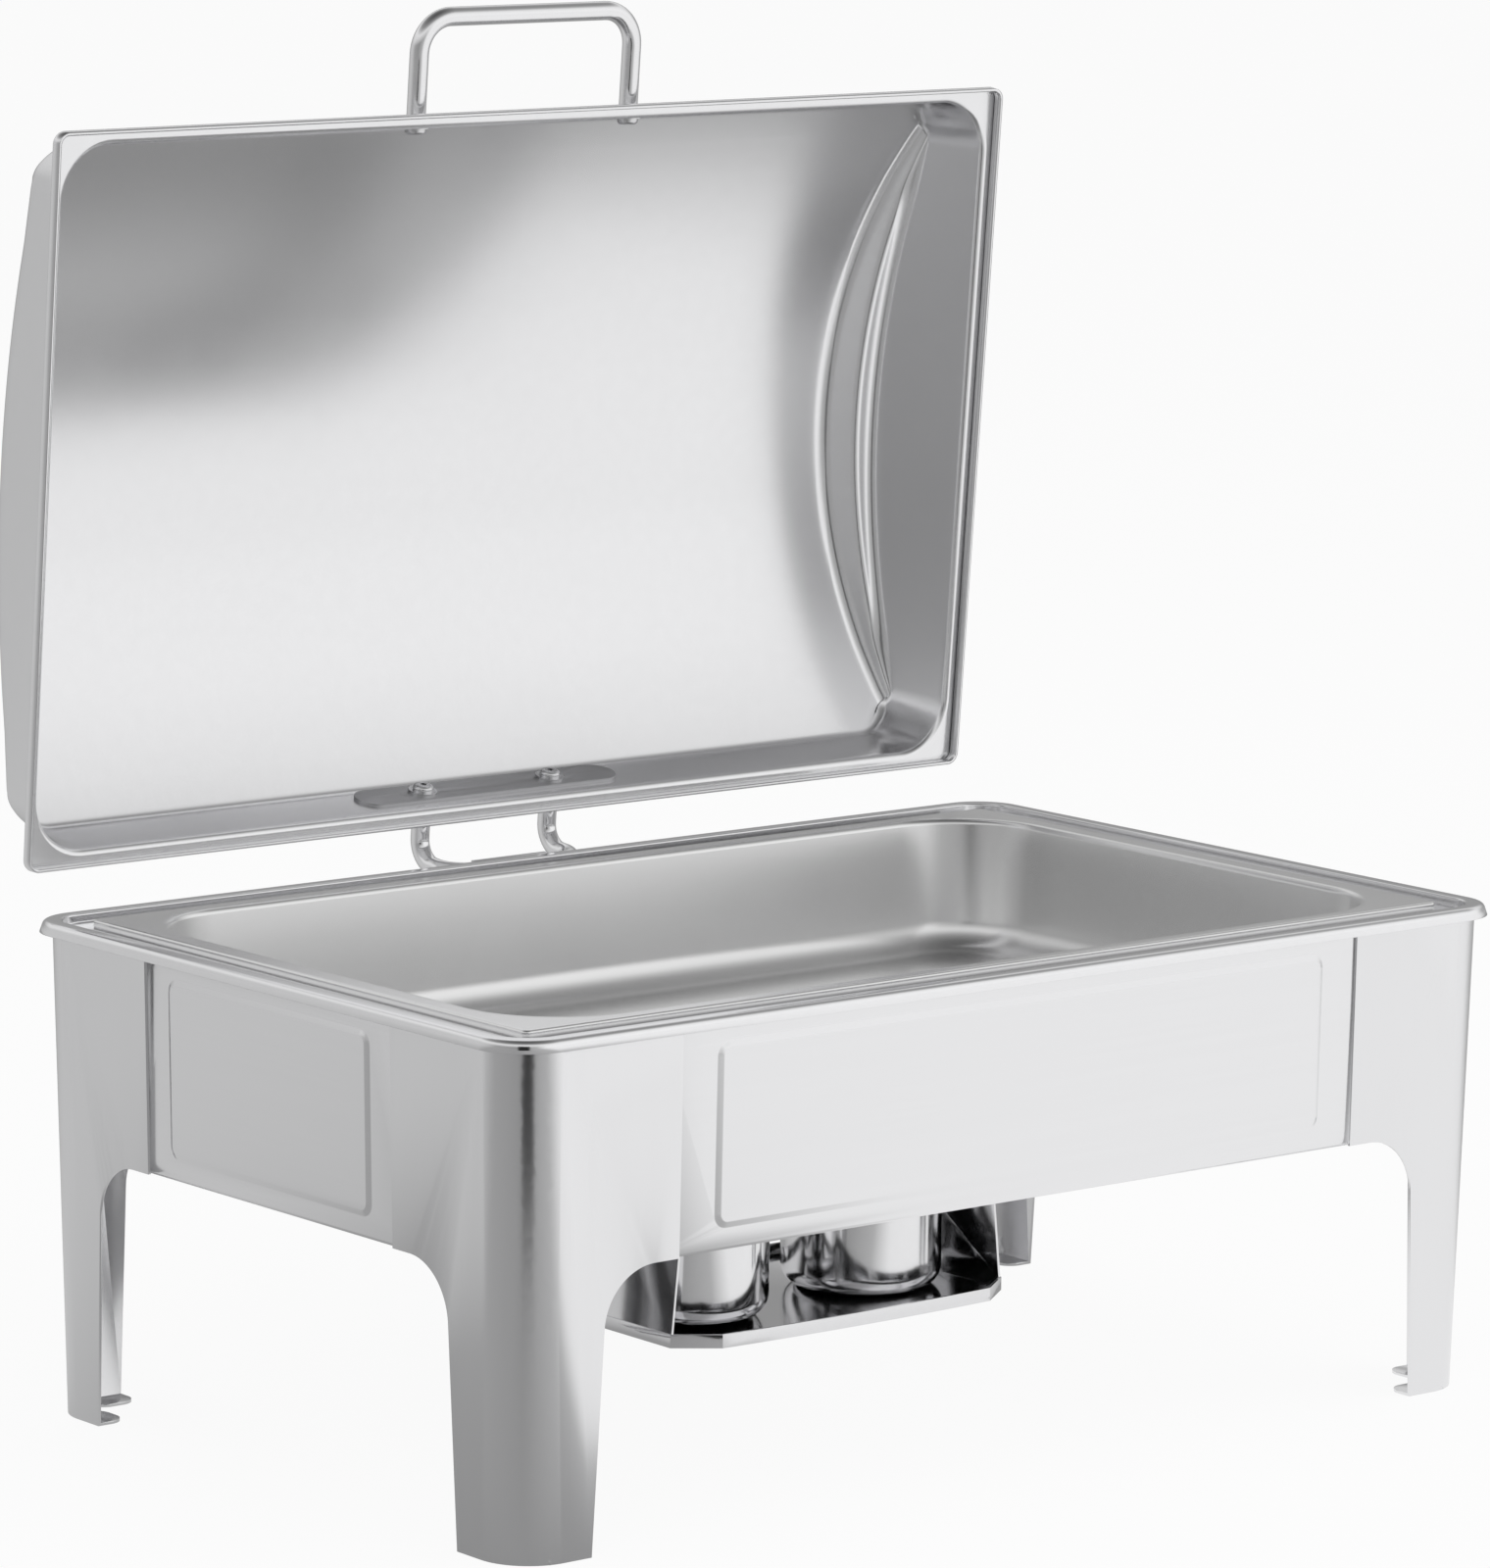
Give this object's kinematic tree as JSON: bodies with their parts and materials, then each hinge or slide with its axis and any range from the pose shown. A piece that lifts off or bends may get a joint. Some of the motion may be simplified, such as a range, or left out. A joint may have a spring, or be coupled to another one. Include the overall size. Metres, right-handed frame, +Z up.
{
  "type": "chafing dish",
  "caption": "Rectangular buffet food warmer: a sheet steel stand with a water pan, a lift-out food pan, an arched hood that swings open on a rear rod, and a hung tray with fuel cups.",
  "frame": {"origin": "on the table, under the middle of the whole dish's box with the hood open; the stand's own middle is 38.1 mm in front of it", "axes": "+Z up, +X along the dish, -Y towards the guest, so the hood's hinge is on the +Y side"},
  "size_m": [0.5782, 0.4485, 0.6325],
  "materials": {
    "leg_steel": "satin stainless steel sheet",
    "skirt_steel": "satin stainless steel sheet, raised panel",
    "bracket_steel": "mill-finish stainless steel",
    "fastener_steel": "bright stainless steel fasteners",
    "water_pan_steel": "polished stainless steel",
    "food_pan_steel": "brushed stainless steel inside",
    "hood_steel": "mirror-polished stainless steel",
    "rod_steel": "polished stainless steel bar",
    "plate_steel": "mill-finish stainless steel strip",
    "tray_steel": "mirror stainless steel sheet",
    "cup_steel": "polished stainless steel",
    "damper_steel": "stainless steel plate"
  },
  "bodies": {
    "stand": {"leg_front_left": "leg_steel", "leg_front_right": "leg_steel", "leg_rear_left": "leg_steel", "leg_rear_right": "leg_steel", "skirt_front": "skirt_steel", "skirt_rear": "skirt_steel", "skirt_left": "skirt_steel", "skirt_right": "skirt_steel", "hinge_bracket": "bracket_steel", "hinge_rivets": "fastener_steel"},
    "water_pan_body": {"water_pan": "water_pan_steel"},
    "food_pan_body": {"food_pan": "food_pan_steel"},
    "hood": {"lid_shell": "hood_steel", "front_handle": "rod_steel", "handle_screws": "fastener_steel", "handle_washers": "fastener_steel", "hinge_rod": "rod_steel", "backing_plate": "plate_steel", "hinge_screws": "fastener_steel", "hinge_washers": "fastener_steel"},
    "tray": {"fuel_tray": "tray_steel"},
    "cup_left": {"fuel_cup_left": "cup_steel"},
    "cover_left": {"cup_cover_left": "cup_steel", "damper_rivet_left": "fastener_steel"},
    "swivel_left": {"damper_left": "damper_steel"},
    "cup_right": {"fuel_cup_right": "cup_steel"},
    "cover_right": {"cup_cover_right": "cup_steel", "damper_rivet_right": "fastener_steel"},
    "swivel_right": {"damper_right": "damper_steel"}
  },
  "joints": [
    {"name": "hood_hinge", "type": "hinge", "parent": "stand", "child": "hood", "pos_m": [0, 0.1555, 0.2217], "axis": [-1, 0, 0], "range_deg": [-85.35, 0]},
    {"name": "water_pan_lift", "type": "slide", "parent": "stand", "child": "water_pan_body", "axis": [0, 0, 1], "range_m": [0, 0.06]},
    {"name": "food_pan_lift", "type": "slide", "parent": "water_pan_body", "child": "food_pan_body", "axis": [0, 0, 1], "range_m": [0, 0.07]},
    {"name": "tray_lift", "type": "slide", "parent": "stand", "child": "tray", "axis": [0, 0, 1], "range_m": [0, 0.003]},
    {"name": "cup_lift_left", "type": "slide", "parent": "tray", "child": "cup_left", "axis": [0, 0, 1], "range_m": [0, 0.0055]},
    {"name": "cover_lift_left", "type": "slide", "parent": "cup_left", "child": "cover_left", "axis": [0, 0, 1], "range_m": [0, 0.0072]},
    {"name": "damper_swing_left", "type": "hinge", "parent": "cover_left", "child": "swivel_left", "pos_m": [-0.0515, -0.0141, 0.0974], "axis": [0, 0, 1], "range_deg": [-90, 0]},
    {"name": "cup_lift_right", "type": "slide", "parent": "tray", "child": "cup_right", "axis": [0, 0, 1], "range_m": [0, 0.0055]},
    {"name": "cover_lift_right", "type": "slide", "parent": "cup_right", "child": "cover_right", "axis": [0, 0, 1], "range_m": [0, 0.0072]},
    {"name": "damper_swing_right", "type": "hinge", "parent": "cover_right", "child": "swivel_right", "pos_m": [0.0515, -0.0141, 0.0974], "axis": [0, 0, -1], "range_deg": [-90, 0]}
  ]
}
